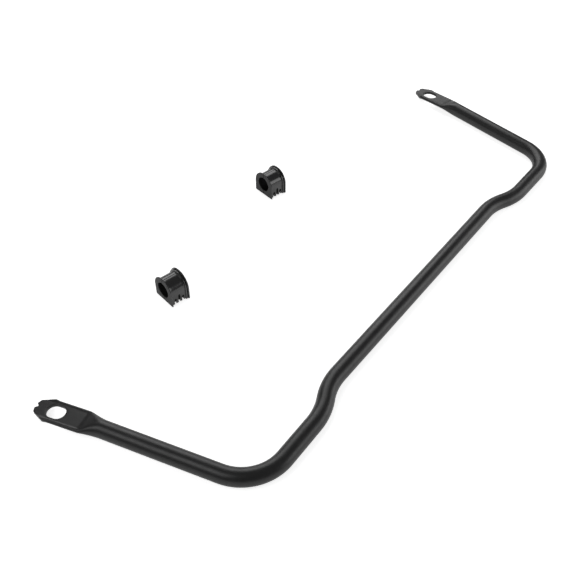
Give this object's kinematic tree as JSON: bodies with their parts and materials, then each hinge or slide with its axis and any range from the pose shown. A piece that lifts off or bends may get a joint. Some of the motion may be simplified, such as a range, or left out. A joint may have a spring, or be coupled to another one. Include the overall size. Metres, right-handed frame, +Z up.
{
  "type": "sway bar",
  "caption": "Tubular anti-roll bar with a jogged middle, splayed arms and flattened pierced ends, with split D-shaped rubber bushings lying beside it.",
  "frame": {"origin": "on the surface that the kit lies on, under the middle of the whole kit (bar and both bushings)", "axes": "+Y along the bar from its left end to its right end; +Z up from the surface; the arms point towards -X"},
  "size_m": [0.4434, 1.152, 0.049],
  "materials": {
    "bar_paint": "satin black powder coat over spring-steel tube",
    "bushing_rubber": "black moulded rubber, matt on the end faces and glossy on the saddle"
  },
  "bodies": {
    "bar_middle": {"bar_middle": "bar_paint"},
    "left_arm": {"bar_left_arm": "bar_paint"},
    "right_arm": {"bar_right_arm": "bar_paint"},
    "left_bushing_inner": {"left_bushing_inner_half": "bushing_rubber"},
    "left_bushing_outer": {"left_bushing_outer_half": "bushing_rubber"},
    "right_bushing_inner": {"right_bushing_inner_half": "bushing_rubber"},
    "right_bushing_outer": {"right_bushing_outer_half": "bushing_rubber"}
  },
  "joints": [
    {"name": "left_arm_twist", "type": "hinge", "parent": "bar_middle", "child": "left_arm", "pos_m": [0.1818, -0.125, 0.014], "axis": [0, 1, 0], "range_deg": [0, 12], "stiffness_Nm_per_rad": 7270},
    {"name": "right_arm_twist", "type": "hinge", "parent": "bar_middle", "child": "right_arm", "pos_m": [0.1818, 0.125, 0.014], "axis": [0, 1, 0], "range_deg": [0, 12], "stiffness_Nm_per_rad": 7270},
    {"name": "left_bushing_lift", "type": "slide", "parent": "bar_middle", "child": "left_bushing_inner", "axis": [0, 0, 1], "range_m": [0, 0.06]},
    {"name": "left_bushing_open", "type": "slide", "parent": "left_bushing_inner", "child": "left_bushing_outer", "axis": [-0.9781, 0.2079, 0], "range_m": [0, 0.032]},
    {"name": "right_bushing_lift", "type": "slide", "parent": "bar_middle", "child": "right_bushing_inner", "axis": [0, 0, 1], "range_m": [0, 0.06]},
    {"name": "right_bushing_open", "type": "slide", "parent": "right_bushing_inner", "child": "right_bushing_outer", "axis": [-0.9781, 0.2079, 0], "range_m": [0, 0.032]}
  ]
}
